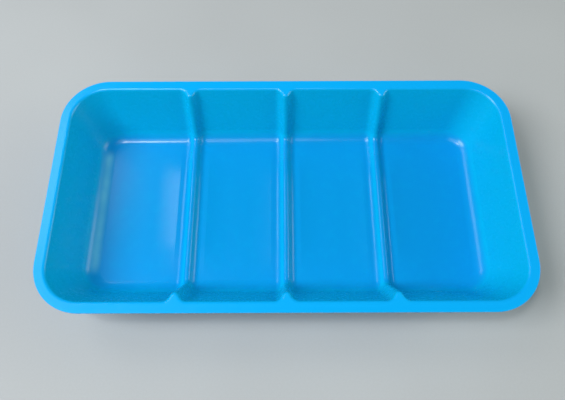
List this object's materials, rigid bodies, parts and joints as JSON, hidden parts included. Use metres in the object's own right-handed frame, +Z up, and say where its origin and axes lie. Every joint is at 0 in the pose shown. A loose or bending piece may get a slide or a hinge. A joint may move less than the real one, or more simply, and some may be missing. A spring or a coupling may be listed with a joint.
{
  "type": "thermoformed tray",
  "caption": "Shallow rectangular plastic tray with rounded corners, a flat flange and low ribs that divide its basin into a row of equal compartments.",
  "frame": {"origin": "middle of the underside of the floor, on the surface that the tray stands on", "axes": "+X along the tray, across its ribs; +Y across the tray, along its ribs; +Z up, out of the open side"},
  "size_m": [0.25, 0.132, 0.0334],
  "materials": {
    "blue_plastic": "satin gloss, coloured through"
  },
  "bodies": {
    "root": {"tray": "blue_plastic"}
  },
  "joints": []
}
